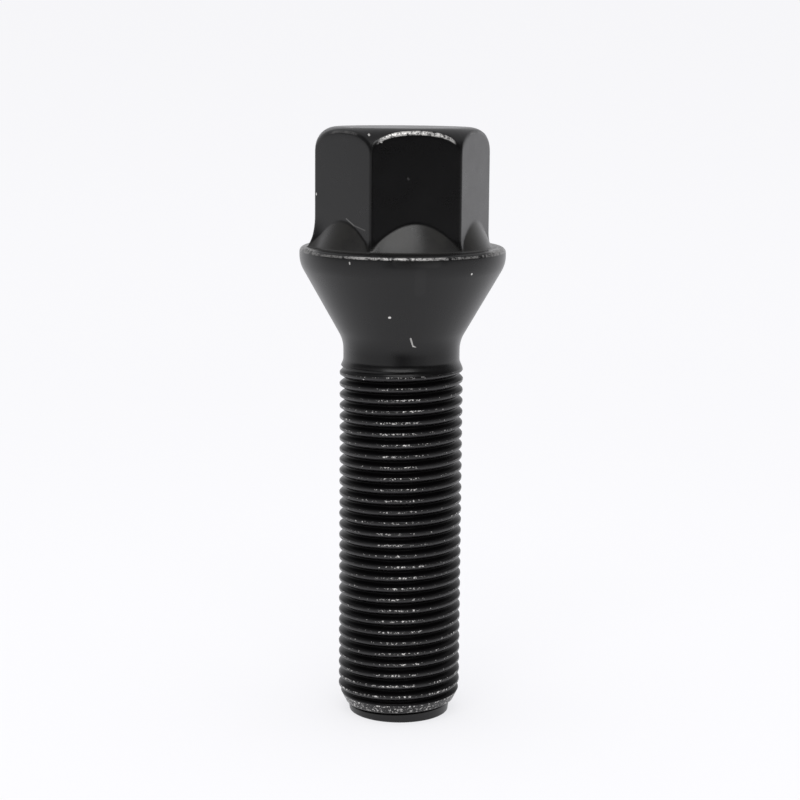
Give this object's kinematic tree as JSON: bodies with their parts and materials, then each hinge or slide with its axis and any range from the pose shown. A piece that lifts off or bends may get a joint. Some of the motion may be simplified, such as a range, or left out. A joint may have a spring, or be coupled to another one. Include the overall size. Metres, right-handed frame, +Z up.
{
  "type": "wheel bolt",
  "caption": "Black steel wheel bolt with a hexagon head, round flange, conical seat, plain neck and long fine-pitch thread ending in a short pilot.",
  "frame": {"origin": "middle of the flat tip face, on the bolt's axis", "axes": "+Z up the bolt's axis from the tip to the head; one flat of the hexagon faces -Y"},
  "size_m": [0.0232, 0.0232, 0.0668],
  "materials": {
    "black_steel": "satin black oxide on forged steel, with light wear along the edges and thread crests"
  },
  "bodies": {
    "root": {"wheel_bolt": "black_steel"}
  },
  "joints": []
}
